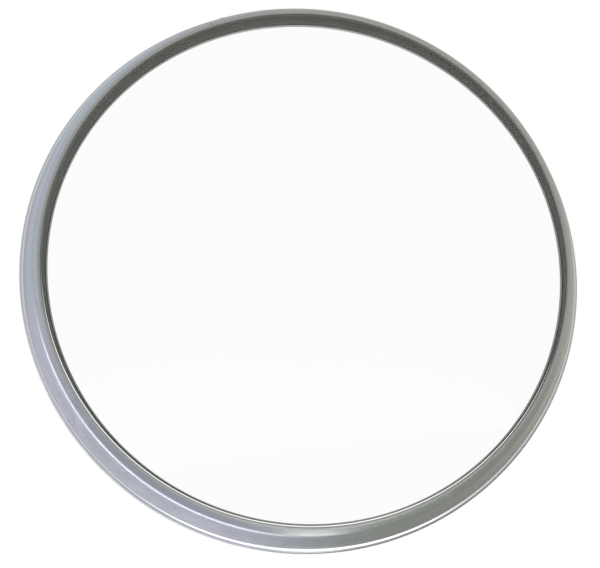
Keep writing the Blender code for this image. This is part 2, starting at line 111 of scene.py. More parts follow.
WALL_HOLE_R = 0.0035        # holes in the wall plate for screws, and their places
WALL_HOLE_X = 0.029
WALL_HOLE_Z = 0.049
PIN_HOLE_R = 0.0024         # holes in the arm tube for the spring pins
JOINT_ANGLE = math.radians(112.5)   # where the rim's two ends meet, from +X
JOINT_SLIT = 0.0004                 # open width of that butt joint

# Resolution
RIM_STEPS = 12              # in each rounded corner of the rim's section
RING_STEPS = 240            # round the mirror's head
BARREL_STEPS = 72           # round the arm's pieces
SMALL_STEPS = 40            # round a fastener
MERGE = 0.000002            # points closer than this become one

FULL_TURN = 2 * math.pi
QUARTER = math.pi / 2
TO_Y = Matrix.Rotation(-QUARTER, 4, "X")        # local +Z to world +Y
TO_MINUS_Y = Matrix.Rotation(QUARTER, 4, "X")   # local +Z to world -Y


# The frame

def centre(node):
    low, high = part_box(node)
    return (low + high) / 2


def joint_frame(name):
    """A joint's point and axis as a matrix, with local +Z along the axis."""
    joint = next(found for found in frame["joints"] if found["name"] == name)
    turn = Vector((0, 0, 1)).rotation_difference(Vector(joint["axis"]))
    return Matrix.Translation(joint["pos_m"]) @ turn.to_matrix().to_4x4()


RECORD = frame["record"]
BODY_OF = {node: body for body, nodes in RECORD["behaviour"]["bodies"].items() for node in nodes}
SLOT_OF = {subpart["node"]: subpart["material_slot"] for subpart in RECORD["subparts"]}
LIP_Y = joint_frame("tilt").translation.y - LIP_AHEAD


# Outlines

def corner_arc(before, corner, after, radius, steps):
    """The points that round a corner off."""
    corner = Vector(corner)
    back = (Vector(before) - corner).normalized()
    ahead = (Vector(after) - corner).normalized()
    half = back.angle(ahead) / 2
    middle = corner + (back + ahead).normalized() * radius / math.sin(half)
    start = (corner + back * radius / math.tan(half) - middle).normalized()
    end = (corner + ahead * radius / math.tan(half) - middle).normalized()
    return [tuple(middle + start.slerp(end, step / steps) * radius) for step in range(steps + 1)]


def rounded(corners, radii, steps=6):
    """An open outline. Each inner corner has its own radius, and 0 leaves it sharp."""
    line = [tuple(corners[0])]
    for before, corner, after, radius in zip(corners, corners[1:], corners[2:], radii):
        line += corner_arc(before, corner, after, radius, steps) if radius else [tuple(corner)]
    return [*line, tuple(corners[-1])]


def rounded_loop(corners, radii, steps=4):
    """A closed outline. Each corner has its own radius, or all share one."""
    radii = radii if isinstance(radii, list) else [radii] * len(corners)
    around = [*corners[-1:], *corners, *corners[:1]]
    return rounded(around, radii, steps)[1:-1]


def circle(middle, radius, steps=SMALL_STEPS):
    turns = [FULL_TURN * step / steps for step in range(steps)]
    return [(middle[0] + radius * math.cos(a), middle[1] + radius * math.sin(a)) for a in turns]


def box_corners(half_width, half_height):
    return [
        (half_width, half_height), (-half_width, half_height),
        (-half_width, -half_height), (half_width, -half_height),
    ]


def tongue(half_width, length, steps=24):
    """A closed strip from Y = 0 to a half-round end centred at Y = length."""
    turns = [math.pi * step / steps for step in range(steps + 1)]
    end = [(half_width * math.cos(a), length + half_width * math.sin(a)) for a in turns]
    return [(half_width, 0), *end, (-half_width, 0)]


# Meshes

def new_piece(name, mesh):
    piece = bpy.data.objects.new(name, mesh)
    bpy.context.scene.collection.objects.link(piece)
    return piece


def shade(mesh):
    mesh.shade_smooth()
    mesh.set_sharp_from_angle(angle=math.radians(35))
    return mesh


def closed_mesh(name, work):
    bmesh.ops.remove_doubles(work, verts=work.verts, dist=MERGE)
    bmesh.ops.recalc_face_normals(work, faces=work.faces)
    mesh = bpy.data.meshes.new(name)
    work.to_mesh(mesh)
    work.free()
    return shade(mesh)


def lathe(name, profile, steps, loop=False, start=0.0, sweep=FULL_TURN, warp=None):
    """A profile of (radius, height) turned about local Z. warp moves (radius, height) at an angle."""
    warp = warp or (lambda radius, height, angle: (radius, height))
    columns = steps if sweep == FULL_TURN else steps + 1
    rows = len(profile) if loop else len(profile) - 1
    work = bmesh.new()
    rings = []
    for column in range(columns):
        angle = start + sweep * column / steps
        placed = [warp(radius, height, angle) for radius, height in profile]
        rings.append([work.verts.new((r * math.cos(angle), r * math.sin(angle), h)) for r, h in placed])
    for column in range(steps):
        here, there = rings[column], rings[(column + 1) % columns]
        for row in range(rows):
            after = (row + 1) % len(profile)
            work.faces.new((here[row], here[after], there[after], there[row]))
    return new_piece(name, closed_mesh(name, work))


def settle(piece):
    """Applies a piece's modifiers."""
    bpy.context.view_layer.update()
    graph = bpy.context.evaluated_depsgraph_get()
    piece.data = shade(bpy.data.meshes.new_from_object(piece.evaluated_get(graph)))
    piece.modifiers.clear()
    return piece


def thicken(piece, thickness, offset=0.0):
    """Gives an open surface a thickness, to both sides of it unless it is offset."""
    solidify = piece.modifiers.new("sheet", "SOLIDIFY")
    solidify.thickness = thickness
    solidify.offset = offset
    solidify.use_even_offset = True
    return settle(piece)


def combine(piece, tool, operation="DIFFERENCE"):
    """Cuts a tool from a piece, or joins it on."""
    boolean = piece.modifiers.new("combine", "BOOLEAN")
    boolean.operation = operation
    boolean.object = tool
    settle(piece)
    bpy.data.objects.remove(tool)
    return piece


def soften(piece, width, segments=3):
    """Rounds a piece's sharp edges."""
    bevel = piece.modifiers.new("soften", "BEVEL")
    bevel.width = width
    bevel.segments = segments
    bevel.limit_method = "ANGLE"
    bevel.angle_limit = math.radians(40)
    settle(piece)
    piece.modifiers.new("flat_faces", "WEIGHTED_NORMAL").keep_sharp = True
    return piece


def plate(name, outlines, thickness):
    """A flat plate about local Z = 0. The first outline is its edge, the others are holes."""
    curve = bpy.data.curves.new(name, "CURVE")
    curve.dimensions = "2D"
    curve.fill_mode = "BOTH"
    curve.extrude = thickness / 2
    for outline in outlines:
        spline = curve.splines.new("POLY")
        spline.points.add(len(outline) - 1)
        for point, (x, y) in zip(spline.points, outline):
            point.co = (x, y, 0, 1)
        spline.use_cyclic_u = True
    drawn = new_piece(name + "_outline", curve)
    bpy.context.view_layer.update()
    graph = bpy.context.evaluated_depsgraph_get()
    work = bmesh.new()
    work.from_mesh(bpy.data.meshes.new_from_object(drawn.evaluated_get(graph)))
    bpy.data.objects.remove(drawn)
    return new_piece(name, closed_mesh(name, work))


def moved(piece, matrix):
    """Moves a piece's mesh, so that the object stays at the origin as the frame's own do."""
    piece.data.transform(matrix)
    return piece


def on_head(piece):
    """Stands a turned piece of (radius, distance ahead of the lip plane) on the mirror's axis."""
    return moved(piece, Matrix.Translation((0, LIP_Y, 0)) @ TO_MINUS_Y)


def stand_for(piece, node):
    """The piece is shown in place of a node: it rides on its body and has its finish."""
    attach(piece, BODY_OF[node])
    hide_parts(node)
    piece.data.materials.clear()
    piece.data.materials.append(FINISH[SLOT_OF[node]])
    return piece


def stand_for_each(template, place_of, nodes):
    """Copies of a piece, one for each node, at the matrices that place_of gives."""
    for node in nodes:
        piece = new_piece(node + "." + template.name, template.data)
        piece.matrix_world = place_of(node)
        stand_for(piece, node)
    bpy.data.objects.remove(template)


def numbered(name, count):
    return [f"{name}_{number}" for number in range(1, count + 1)]


# Finishes

class Finish:
    """A Principled material. What is the same all over the surface is set on the shader itself."""

    def __init__(self, name, colour, roughness, metallic=0.0, **constants):
        self.material = bpy.data.materials.new(name)
        self.material.use_nodes = True
        self.tree = self.material.node_tree
        self.shader = self.tree.nodes["Principled BSDF"]
        self.shader.inputs["Base Color"].default_value = (*colour, 1)
        self.shader.inputs["Roughness"].default_value = roughness
        self.shader.inputs["Metallic"].default_value = metallic
        for key, value in constants.items():
            self.shader.inputs[key.replace("_", " ").title().replace("Ior", "IOR")].default_value = value
        self.place = self.add("TexCoord", []).outputs["Object"]

    def add(self, kind, inputs, **settings):
        """Adds a node. Its inputs are values or other nodes' outputs, by name or in order."""
        made = self.tree.nodes.new("ShaderNode" + kind)
        for key, value in settings.items():
            setattr(made, key, value)
        pairs = inputs.items() if isinstance(inputs, dict) else enumerate(inputs)
        for key, value in pairs:
            if isinstance(value, bpy.types.NodeSocket):
                self.tree.links.new(value, made.inputs[key])
            else:
                made.inputs[key].default_value = value
        return made

    def math(self, operation, *values):
        return self.add("Math", values, operation=operation).outputs[0]

    def noise(self, scale, detail=3.0, vector=None, distortion=0.0):
        inputs = {"Vector": vector or self.place, "Scale": scale}
        inputs |= {"Detail": detail, "Distortion": distortion}
        return self.add("TexNoise", inputs).outputs["Fac"]

    def cells(self, scale, vector=None):
        return self.add("TexVoronoi", {"Vector": vector or self.place, "Scale": scale})

    def remap(self, value, low, high, to_low=0.0, to_high=1.0):
        return self.add("MapRange", [value, low, high, to_low, to_high]).outputs["Result"]

    def stretched(self, x, y, z):
        """The place, with each axis scaled, for grain that runs along one of them."""
        inputs = {"Vector": self.place, "Scale": (x, y, z)}
        return self.add("Mapping", inputs).outputs["Vector"]

    def from_axis(self, axes="XZY"):
        """Distance from the axis named last, then the place along each of the axes."""
        split = self.add("SeparateXYZ", [self.place])
        first, second, along = (split.outputs[axis] for axis in axes)
        squares = [self.math("MULTIPLY", side, side) for side in (first, second)]
        return self.math("SQRT", self.math("ADD", *squares)), first, second, along

    def rings(self, across, around, axes="XZY"):
        """A place for grain that runs round an axis, which is the last of the axes given."""
        radius, first, second, along = self.from_axis(axes)
        slow = self.math("MULTIPLY", self.math("ADD", first, self.math("MULTIPLY", second, 1.7)), around)
        parts = [self.math("MULTIPLY", radius, across), self.math("MULTIPLY", along, across), slow]
        return self.add("CombineXYZ", parts).outputs[0]

    def colour(self, factor, low, high):
        mix = self.add("Mix", {0: factor}, data_type="RGBA")
        for socket, value in zip(mix.inputs[6:8], (low, high)):
            if isinstance(value, bpy.types.NodeSocket):
                self.tree.links.new(value, socket)
            else:
                socket.default_value = (*value, 1)
        return mix.outputs[2]

    def bump(self, height, distance, below=None):
        inputs = {"Height": height, "Distance": distance, "Strength": 1.0}
        if below:
            inputs["Normal"] = below
        return self.add("Bump", inputs).outputs[0]

    def finish(self, **sockets):
        for key, value in sockets.items():
            self.tree.links.new(value, self.shader.inputs[key.replace("_", " ").title()])
        return self.material

    def scratches(self, scale, length, thinness):
        """A mask of fine straight scratches that lie in three directions."""
        marks = []
        for turn in (0.35, 1.4, 2.5):
            inputs = {"Vector": self.place, "Rotation": (turn, turn * 0.7, turn)}
            turned_place = self.add("Mapping", inputs).outputs["Vector"]
            inputs = {"Vector": turned_place, "Scale": (scale, scale / length, scale / length)}
            place = self.add("Mapping", inputs).outputs["Vector"]
            marks.append(self.remap(self.noise(1.0, 2.0, place), 0.70, 0.70 + thinness))
        return self.math("MAXIMUM", self.math("MAXIMUM", marks[0], marks[1]), marks[2])


def rim_metal():
    """Satin steel: fine spinning marks round the rim, faint plating tints, a rougher lip and painted
    shade on it.
    """
    f = Finish("rim_metal", (0.52, 0.52, 0.53), 0.26, 1.0)
    fine = f.noise(1.0, 2.0, f.rings(2600, 3.0))
    coarse = f.noise(1.0, 2.0, f.rings(520, 2.0))
    lines = f.math("ADD", f.math("MULTIPLY", fine, 0.6), f.math("MULTIPLY", coarse, 0.4))
    clouds = f.noise(9.0, 2.0, distortion=0.6)
    tint = f.colour(f.remap(clouds, 0.38, 0.62), (0.52, 0.505, 0.555), (0.50, 0.53, 0.54))
    marks = f.scratches(420, 26, 0.05)
    tint = f.colour(f.remap(lines, 0.35, 0.65, 0.0, 0.35), tint, (0.61, 0.61, 0.61))
    tint = f.colour(f.math("MULTIPLY", marks, 0.35), tint, (0.70, 0.70, 0.70))
    # Painted shade: the lip's colour is darkened towards its edge, and the lip is made rougher.
    lip_shade = f.remap(f.from_axis()[0], LIP_R + SHEET * 0.4, LIP_R + SHEET * 1.6, 0.8, 0.0)
    tint = f.colour(lip_shade, tint, (0.27, 0.275, 0.245))
    smudges = f.remap(f.noise(38.0, 4.0, distortion=1.2), 0.52, 0.68, 0.0, 0.07)
    duller = f.math("ADD", smudges, f.math("MULTIPLY", lip_shade, 0.35))
    roughness = f.math("ADD", f.remap(lines, 0.3, 0.7, 0.25, 0.33), duller)
    relief = f.bump(lines, 0.000012, f.bump(clouds, 0.00015))
    return f.finish(base_color=tint, roughness=roughness, normal=relief)


def mirror_face():
    """Silvered acrylic: a sharp reflection behind a clear skin, with a little dust and wiping haze."""
    f = Finish("mirror_face", (0.94, 0.95, 0.955), 0.02, 1.0,
               coat_weight=0.6, coat_roughness=0.02, coat_ior=1.49)
    haze = f.remap(f.noise(16.0, 3.0, f.stretched(1.0, 1.0, 2.4), 0.8), 0.45, 0.75, 0.015, 0.05)
    specks = f.remap(f.cells(130.0).outputs["Distance"], 0.0, 0.045, 1.0, 0.0)
    tint = f.colour(f.math("MULTIPLY", specks, 0.25), (0.94, 0.95, 0.955), (0.80, 0.80, 0.79))
    roughness = f.math("ADD", haze, f.math("MULTIPLY", specks, 0.2))
    relief = f.bump(f.noise(7.0, 1.0), 0.00005)
    return f.finish(base_color=tint, roughness=roughness, normal=relief)


def gasket_rubber():
    """Grey-black rubber with a dusty bloom and fine extrusion lines that run round it."""
    f = Finish("gasket_rubber", (0.11, 0.112, 0.098), 0.6, 0.0, specular_ior_level=0.35)
    lines = f.noise(1.0, 2.0, f.rings(3200, 4.0))
    bloom = f.noise(60.0, 4.0, distortion=0.5)
    tint = f.colour(f.remap(bloom, 0.4, 0.7), (0.100, 0.102, 0.089), (0.122, 0.124, 0.108))
    roughness = f.remap(bloom, 0.3, 0.7, 0.5, 0.72)
    return f.finish(base_color=tint, roughness=roughness, normal=f.bump(lines, 0.000006))


def back_steel():
    """Galvanised sheet: spangled zinc, dull and a little scratched."""
    f = Finish("back_steel", (0.55, 0.56, 0.57), 0.42, 1.0)
    shift = f.add("TexNoise", {"Vector": f.place, "Scale": 70.0, "Detail": 2.0}).outputs["Color"]
    shift = f.add("VectorMath", [shift, (0.010, 0.010, 0.010)], operation="MULTIPLY").outputs[0]
    warped = f.add("VectorMath", [f.place, shift], operation="ADD").outputs[0]
    spangle = f.cells(75.0, warped)
    leaf = f.add("SeparateColor", [spangle.outputs["Color"]]).outputs[0]
    frost = f.noise(900.0, 3.0)
    tint = f.colour(leaf, (0.50, 0.515, 0.53), (0.61, 0.62, 0.63))
    tint = f.colour(f.remap(f.noise(14.0, 4.0), 0.52, 0.72, 0.0, 0.5), tint, (0.47, 0.475, 0.47))
    tint = f.colour(f.math("MULTIPLY", f.scratches(260, 30, 0.05), 0.5), tint, (0.72, 0.72, 0.72))
    roughness = f.math("ADD", f.remap(leaf, 0, 1, 0.34, 0.46), f.remap(frost, 0.3, 0.7, 0.0, 0.08))
    relief = f.bump(frost, 0.00002, f.bump(f.noise(18.0, 2.0), 0.0002))
    return f.finish(base_color=tint, roughness=roughness, normal=relief)


def zinc_plate(name, colour, grain, edge=0.5):
    """Bright zinc plating: cloudy, faintly blue and yellow, with scratches and brighter rubbed edges."""
    f = Finish(name, colour, 0.34, 1.0)
    clouds = f.noise(34.0, 4.0, distortion=0.7)
    blue = [c * k for c, k in zip(colour, (0.96, 0.985, 1.02))]
    yellow = [c * k for c, k in zip(colour, (1.03, 1.01, 0.955))]
    tint = f.colour(f.remap(clouds, 0.4, 0.62), blue, yellow)
    marks = f.scratches(420, 24, 0.05)
    worn = f.remap(f.add("NewGeometry", []).outputs["Pointiness"], 0.515, 0.56, 0.0, edge)
    bright = [min(1.0, c * 1.28) for c in colour]
    tint = f.colour(f.math("MAXIMUM", f.math("MULTIPLY", marks, 0.5), worn), tint, bright)
    fine = f.noise(1.0, 2.0, grain(f))
    roughness = f.math("ADD", f.remap(clouds, 0.3, 0.7, 0.26, 0.36), f.remap(fine, 0.3, 0.7, 0.0, 0.08))
    relief = f.bump(fine, 0.000012, f.bump(marks, 0.00001))
    return f.finish(base_color=tint, roughness=roughness, normal=relief)


def bracket_steel():
    return zinc_plate("bracket_steel", (0.56, 0.57, 0.585), lambda f: f.stretched(1800, 1800, 160))


def tube_steel():
    return zinc_plate("tube_steel", (0.60, 0.60, 0.60), lambda f: f.stretched(2400, 70, 2400))


def fastener_steel():
    return zinc_plate("fastener_steel", (0.58, 0.58, 0.57), lambda f: f.rings(3600, 30, "XYZ"), 0.8)


def knuckle_cast():
    """Sand-cast aluminium, tumbled: a fine pitted skin, rubbed brighter on its edges."""
    f = Finish("knuckle_cast", (0.60, 0.60, 0.59), 0.48, 1.0)
    skin = f.noise(1500.0, 4.0)
    pits = f.remap(f.cells(700.0).outputs["Distance"], 0.0, 0.28)
    tint = f.colour(f.remap(f.noise(120.0, 3.0), 0.35, 0.65), (0.54, 0.54, 0.535), (0.64, 0.64, 0.625))
    worn = f.remap(f.add("NewGeometry", []).outputs["Pointiness"], 0.515, 0.56, 0.0, 0.6)
    tint = f.colour(worn, tint, (0.78, 0.78, 0.77))
    roughness = f.remap(skin, 0.3, 0.7, 0.38, 0.58)
    relief = f.bump(skin, 0.00006, f.bump(pits, 0.00005))
    return f.finish(base_color=tint, roughness=roughness, normal=relief)


def insert_brass():
    f = Finish("insert_brass", (0.72, 0.55, 0.27), 0.3, 1.0)
    lines = f.noise(1.0, 2.0, f.rings(4000, 20, "XYZ"))
    tint = f.colour(f.remap(f.noise(300.0, 3.0), 0.4, 0.65), (0.74, 0.57, 0.28), (0.58, 0.42, 0.20))
    roughness = f.remap(lines, 0.3, 0.7, 0.22, 0.36)
    return f.finish(base_color=tint, roughness=roughness, normal=f.bump(lines, 0.00001))


def moulded(name, colour, roughness, grain_scale, grain_depth, **constants):
    """Moulded plastic: a spark-eroded grain, slight flow clouds and lighter rubbed edges."""
    f = Finish(name, colour, roughness, 0.0, **constants)
    grain = f.noise(grain_scale, 3.0)
    flow = f.noise(70.0, 3.0, distortion=0.6)
    lighter = [c * 1.22 + 0.004 for c in colour]
    worn_colour = [c * 1.5 + 0.03 for c in colour]
    worn = f.remap(f.add("NewGeometry", []).outputs["Pointiness"], 0.52, 0.58, 0.0, 0.5)
    scuffs = f.math("MULTIPLY", f.scratches(500, 14, 0.06), 0.3)
    tint = f.colour(f.remap(flow, 0.35, 0.65), colour, lighter)
    tint = f.colour(f.math("MAXIMUM", worn, scuffs), tint, worn_colour)
    spread = f.math("ADD", f.remap(grain, 0.3, 0.7, -0.05, 0.07), f.remap(flow, 0.3, 0.7, 0.0, 0.06))
    return f.finish(base_color=tint, roughness=f.math("ADD", spread, roughness),
                    normal=f.bump(grain, grain_depth))


def knob_plastic():
    return moulded("knob_plastic", (0.022, 0.022, 0.024), 0.40, 2600.0, 0.00003)


def nylon():
    return moulded("nylon", (0.76, 0.75, 0.69), 0.42, 1800.0, 0.00001, subsurface_weight=0.1)


def hoop_plastic():
    return moulded("hoop_plastic", (0.09, 0.09, 0.09), 0.55, 1500.0, 0.00004)


FINISH = {
    make.__name__: make()
    for make in (
        rim_metal, mirror_face, gasket_rubber, back_steel, bracket_steel, tube_steel,
        fastener_steel, knuckle_cast, insert_brass, knob_plastic, nylon, hoop_plastic,
    )
}


# The mirror's head

def leaning(radius, height, angle):
    """The dome's seat leans a little, deeper in the rim at its left and its top."""
    return radius, height - radius * SEAT_LEAN.dot((math.cos(angle), math.sin(angle)))


def make_rim():
    """Spun sheet: a short inner wall, a tight lip, a round ridge, a skirt, a bead and a hem."""
    draft = 0.0004
    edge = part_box("rim")[1].x
    bead_r = edge + BEAD_CORNER - SHEET / 2
    corners = [
        (LIP_R - draft, WALL_FOOT), (LIP_R, LIP_CORNER), (RIDGE_R, RIDGE_FORWARD),
        (COVE_R, COVE_FORWARD), (bead_r, BEAD_FORWARD), (bead_r - BEAD_LEAN, HEM_FORWARD),
        (HEM_END_R, HEM_FORWARD),
    ]
    profile = rounded(corners, [0.0003, RIDGE_ROUND, 0.0012, BEAD_ROUND, 0.0016], RIM_STEPS)
    slit = JOINT_SLIT / edge
    rim = lathe("rim_spun", profile, RING_STEPS, start=JOINT_ANGLE + slit / 2, sweep=FULL_TURN - slit)
    stand_for(on_head(thicken(rim, SHEET)), "rim")


def make_dome():
    """The curved face on its flat flange, with the small cove that forming leaves between them."""
    reach = math.asin(DOME_R / DOME_SPHERE_R)
    middle = FLANGE_FRONT - DOME_SPHERE_R * math.cos(reach)
    cove_r, steps = 0.0012, 40
    turns = [reach * step / steps for step in range(steps)]
    face = [(DOME_SPHERE_R * math.sin(a), middle + DOME_SPHERE_R * math.cos(a)) for a in turns]
    cove = corner_arc(face[-1], (DOME_R, FLANGE_FRONT), (FLANGE_R, FLANGE_FRONT), cove_r, 5)
    dome = lathe("mirror_face", [*face, *cove, (FLANGE_R, FLANGE_FRONT)], RING_STEPS, warp=leaning)
    stand_for(on_head(thicken(dome, DOME_THICK, 1.0)), "mirror_dome")


def make_gasket():
    """A rubber channel on the edge of the flange. Its front leg fills the space behind the lip."""
    thick = 0.0012
    slot = FLANGE_R + GAP
    outer = slot + thick
    front = WALL_FOOT - GAP
    shoulder = front - 0.0019
    flange_back = FLANGE_FRONT - DOME_THICK
    back = flange_back - thick
    corners = [
        (GASKET_R, front), (FLANGE_R, front), (outer, shoulder), (outer, back), (GASKET_BACK_R, back),
        (GASKET_BACK_R, flange_back - GAP), (slot, flange_back - GAP),
        (slot, FLANGE_FRONT + GAP), (GASKET_R, FLANGE_FRONT + GAP),
    ]
    radii = [0.0003, 0.0003, 0.0003, 0.0005, 0.0004, 0.0002, 0.0001, 0.0001, 0.0002]

    def seated(radius, height, angle):
        return (radius, height) if height > shoulder - GAP else leaning(radius, height, angle)

    gasket = lathe("gasket_ring", rounded_loop(corners, radii), RING_STEPS, loop=True, warp=seated)
    stand_for(on_head(gasket), "edge_gasket")


def make_back_pan():
    """Pressed sheet: a flat flange, a round swage and a raised flat centre."""
    level = PAN_FLANGE_FRONT - SHEET_BACK / 2
    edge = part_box("back_pan")[1].x
    corners = [
        (edge, level), (0.1900, level), (0.1840, level - 0.0040), (0.1290, level - 0.0064),
        (0.1230, level - 0.0036), (0.1150, level - 0.0036), (0.1090, level - 0.0070),
        (0.0740, level - 0.0082), (0.0660, PAN_CENTRE), (0.0, PAN_CENTRE),
    ]
    radii = [0.004, 0.004, 0.005, 0.0035, 0.0035, 0.005, 0.005, 0.005]
    pan = lathe("back_pan_pressed", rounded(corners, radii, 5)[::-1], RING_STEPS)
    stand_for(on_head(thicken(pan, SHEET_BACK)), "back_pan")


# Fasteners. Each stands on local Z = 0, with its head above and its shank below.

def dome_head(radius, height, edge, steps=8):
    """A low domed head's profile from its top to the edge under it."""
    turns = [QUARTER * step / steps for step in range(steps + 1)]
    rise = height - edge
    crown = [(radius * math.sin(a), edge + rise * math.cos(a)) for a in turns]
    return [*crown, (radius - edge / 2, 0)]


def threaded(shank_r, pitch, depth, start, end):
    """A warp that cuts a screw thread into the shank between two heights."""
    def warp(radius, height, angle):
        if height > start or radius < shank_r * 0.99:
            return radius, height
        run = min(1.0, (start - height) / pitch, max(0.0, height - end) / pitch)
        phase = (height / pitch - angle / FULL_TURN) % 1.0
        groove = 1 - abs(2 * phase - 1)
        return radius - depth * run * groove, height
    return warp


def screw_profile(head, shank_r, length, pitch, start):
    """A head's profile, then a shank with enough points along it to carry a thread."""
    rows_per_turn = 8
    rows = int((length - start) / pitch * rows_per_turn)
    run = [(shank_r, -start - (length - start) * row / rows) for row in range(rows + 1)]
    tip = shank_r * 0.7
    return [*head, (shank_r, 0), *run, (tip, -length), (0, -length)]


def screw(name, head, shank_r, length, pitch, depth, start, steps):
    profile = screw_profile(head, shank_r, length, pitch, start)
    warp = threaded(shank_r, pitch, depth, -start, -length)
    return lathe(name, profile, steps, warp=warp)


def wedge(half_width, half_depth, top, bottom, taper):
    """A tapered block, wide at its top, for cutting recesses."""
    work = bmesh.new()
    bmesh.ops.create_cube(work, size=2.0)
    for vert in work.verts:
        scale, height = (1.0, top) if vert.co.z > 0 else (taper, bottom)
        vert.co = (vert.co.x * half_width * scale, vert.co.y * half_depth * scale, height)
    return new_piece("wedge", closed_mesh("wedge", work))


def make_pan_screws():
    """Pan-head screws with a cross recess."""
    radius, height, crown = 0.0040, 0.0024, 0.0014
    head = [(0, height), *corner_arc((0, height), (radius, height), (radius, 0), crown, 6), (radius, 0)]
    template = screw("cross_head", head, shank_r=0.0018, length=0.0130, pitch=0.0012, depth=0.0004,
                     start=0.001, steps=24)
    for turn in (0, QUARTER):
        slot = wedge(half_width=0.0022, half_depth=0.00045, top=height + 0.001, bottom=height - 0.0014,
                     taper=0.45)
        combine(template, moved(slot, Matrix.Rotation(turn, 4, "Z")))

    def place(node):
        middle = centre(node)
        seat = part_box(node)[1].y - height
        spin = Matrix.Rotation(math.atan2(middle.z, middle.x) * 5.3, 4, "Z")    # each at its own angle
        return Matrix.Translation((middle.x, seat, middle.z)) @ TO_Y @ spin

    stand_for_each(template, place, numbered("pan_screw", 8))


def make_bracket_bolts():
    """Button-head bolts with a hexagon socket."""
    radius, height = 0.005, 0.003
    flat_r, socket_r, above = 0.0021, 0.00175, 0.001
    head = [(0, height), (flat_r, height), *dome_head(radius, height, 0.0006)[4:]]
    template = screw("socket_head", head, shank_r=0.0029, length=0.0138, pitch=0.0010, depth=0.0004,
                     start=0.007, steps=32)
    recess = [(0, height + above), (socket_r, height + above), (socket_r, 0.0012), (0, 0.0006)]
    combine(template, lathe("socket", recess, 6))

    def place(node):
        middle = centre(node)
        return Matrix.Translation((middle.x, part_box(node)[1].y - height, middle.z)) @ TO_Y

    stand_for_each(template, place, numbered("bracket_bolt", 4))


def make_clevis_rivets():
    """Solid rivets with a low domed head."""
    radius, height, shank_r = 0.0040, 0.0016, 0.0019
    low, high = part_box("clevis_rivet_1")
    foot = height - (high.y - low.y)
    profile = [*dome_head(radius, height, 0.0003), (shank_r, 0), (shank_r, foot), (0, foot)]
    template = lathe("round_head", profile, SMALL_STEPS)

    def place(node):
        middle = centre(node)
        return Matrix.Translation((middle.x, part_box(node)[0].y + height, middle.z)) @ TO_MINUS_Y

    stand_for_each(template, place, numbered("clevis_rivet", 4))


def make_splice_rivets():
    """Blind rivets with the hole that the mandrel leaves, square to the skirt."""
    radius, height, hole_r, shank_r, foot = 0.0030, 0.0006, 0.0009, 0.0016, -0.0044
    hole = [(0, height * 0.3), (hole_r, height * 0.3), (hole_r, height * 0.9)]
    shank = [(shank_r, 0), (shank_r, foot), (0, foot)]
    template = lathe("blind_head", [*hole, *dome_head(radius, height, 0.0001)[3:], *shank], 32)
    ridge = Vector((RIDGE_R, RIDGE_FORWARD))
    skirt = (Vector((COVE_R, COVE_FORWARD)) - ridge).normalized()
    outward = Vector((-skirt.y, skirt.x))

    def place(node):
        middle = centre(node)
        angle = math.atan2(middle.z, middle.x)
        spot = Vector((math.hypot(middle.x, middle.z), LIP_Y - middle.y))
        seat_line = ridge + outward * (SHEET / 2 + GAP)
        seat = spot + outward * (seat_line - spot).dot(outward)
        around = Matrix.Rotation(-angle, 4, "Y")
        lean = Vector((0, 0, 1)).rotation_difference(Vector((outward.x, -outward.y, 0)))
        stand = Matrix.Translation((seat.x, LIP_Y - seat.y, 0)) @ lean.to_matrix().to_4x4()
        return around @ stand

    stand_for_each(template, place, numbered("splice_rivet", 4))


def make_ring(name, node, place, inner, outer, thickness, edge):
    """A washer or a liner, with slightly round edges."""
    half = thickness / 2
    corners = [(inner, half), (outer, half), (outer, -half), (inner, -half)]
    ring = lathe(name, rounded_loop(corners, edge), BARREL_STEPS, loop=True)
    stand_for(moved(ring, place), node)


# Joints

def make_joint_hardware(prefix, turn_joint):
    """Bolt, washers, knob and insert along a joint's axis, with the knob at the axis's far end."""
    axis = joint_frame(turn_joint)

    def along(distance):
        return axis @ Matrix.Translation((0, 0, distance))

    seat = EAR_MIDDLE + SHEET_FORK / 2 + GAP
    past_joint = 0.038
    head = dome_head(radius=0.0095, height=0.0040, edge=0.0008, steps=10)
    bolt = screw(prefix + "_bolt_cut", head, shank_r=BOLT_R, length=seat + past_joint, pitch=0.00125,
                 depth=0.0005, start=2 * seat, steps=SMALL_STEPS)
    flip = Matrix.Rotation(math.pi, 4, "X")
    stand_for(moved(bolt, along(-seat) @ flip), prefix + "_bolt")

    for number, distance in enumerate((-LINER_MIDDLE, LINER_MIDDLE), 1):
        node = f"{prefix}_friction_washer_{number}"
        make_ring(node + "_fine", node, along(distance),
                  inner=BORE_R + GAP, outer=0.0105, thickness=0.0022, edge=0.0003)
    washer = 0.0016
    make_ring(prefix + "_washer_fine", prefix + "_washer", along(seat + washer / 2),
              inner=BORE_R, outer=0.0085, thickness=washer, edge=0.0002)
    make_knob(prefix, along(seat + washer + GAP + KNOB_HALF))


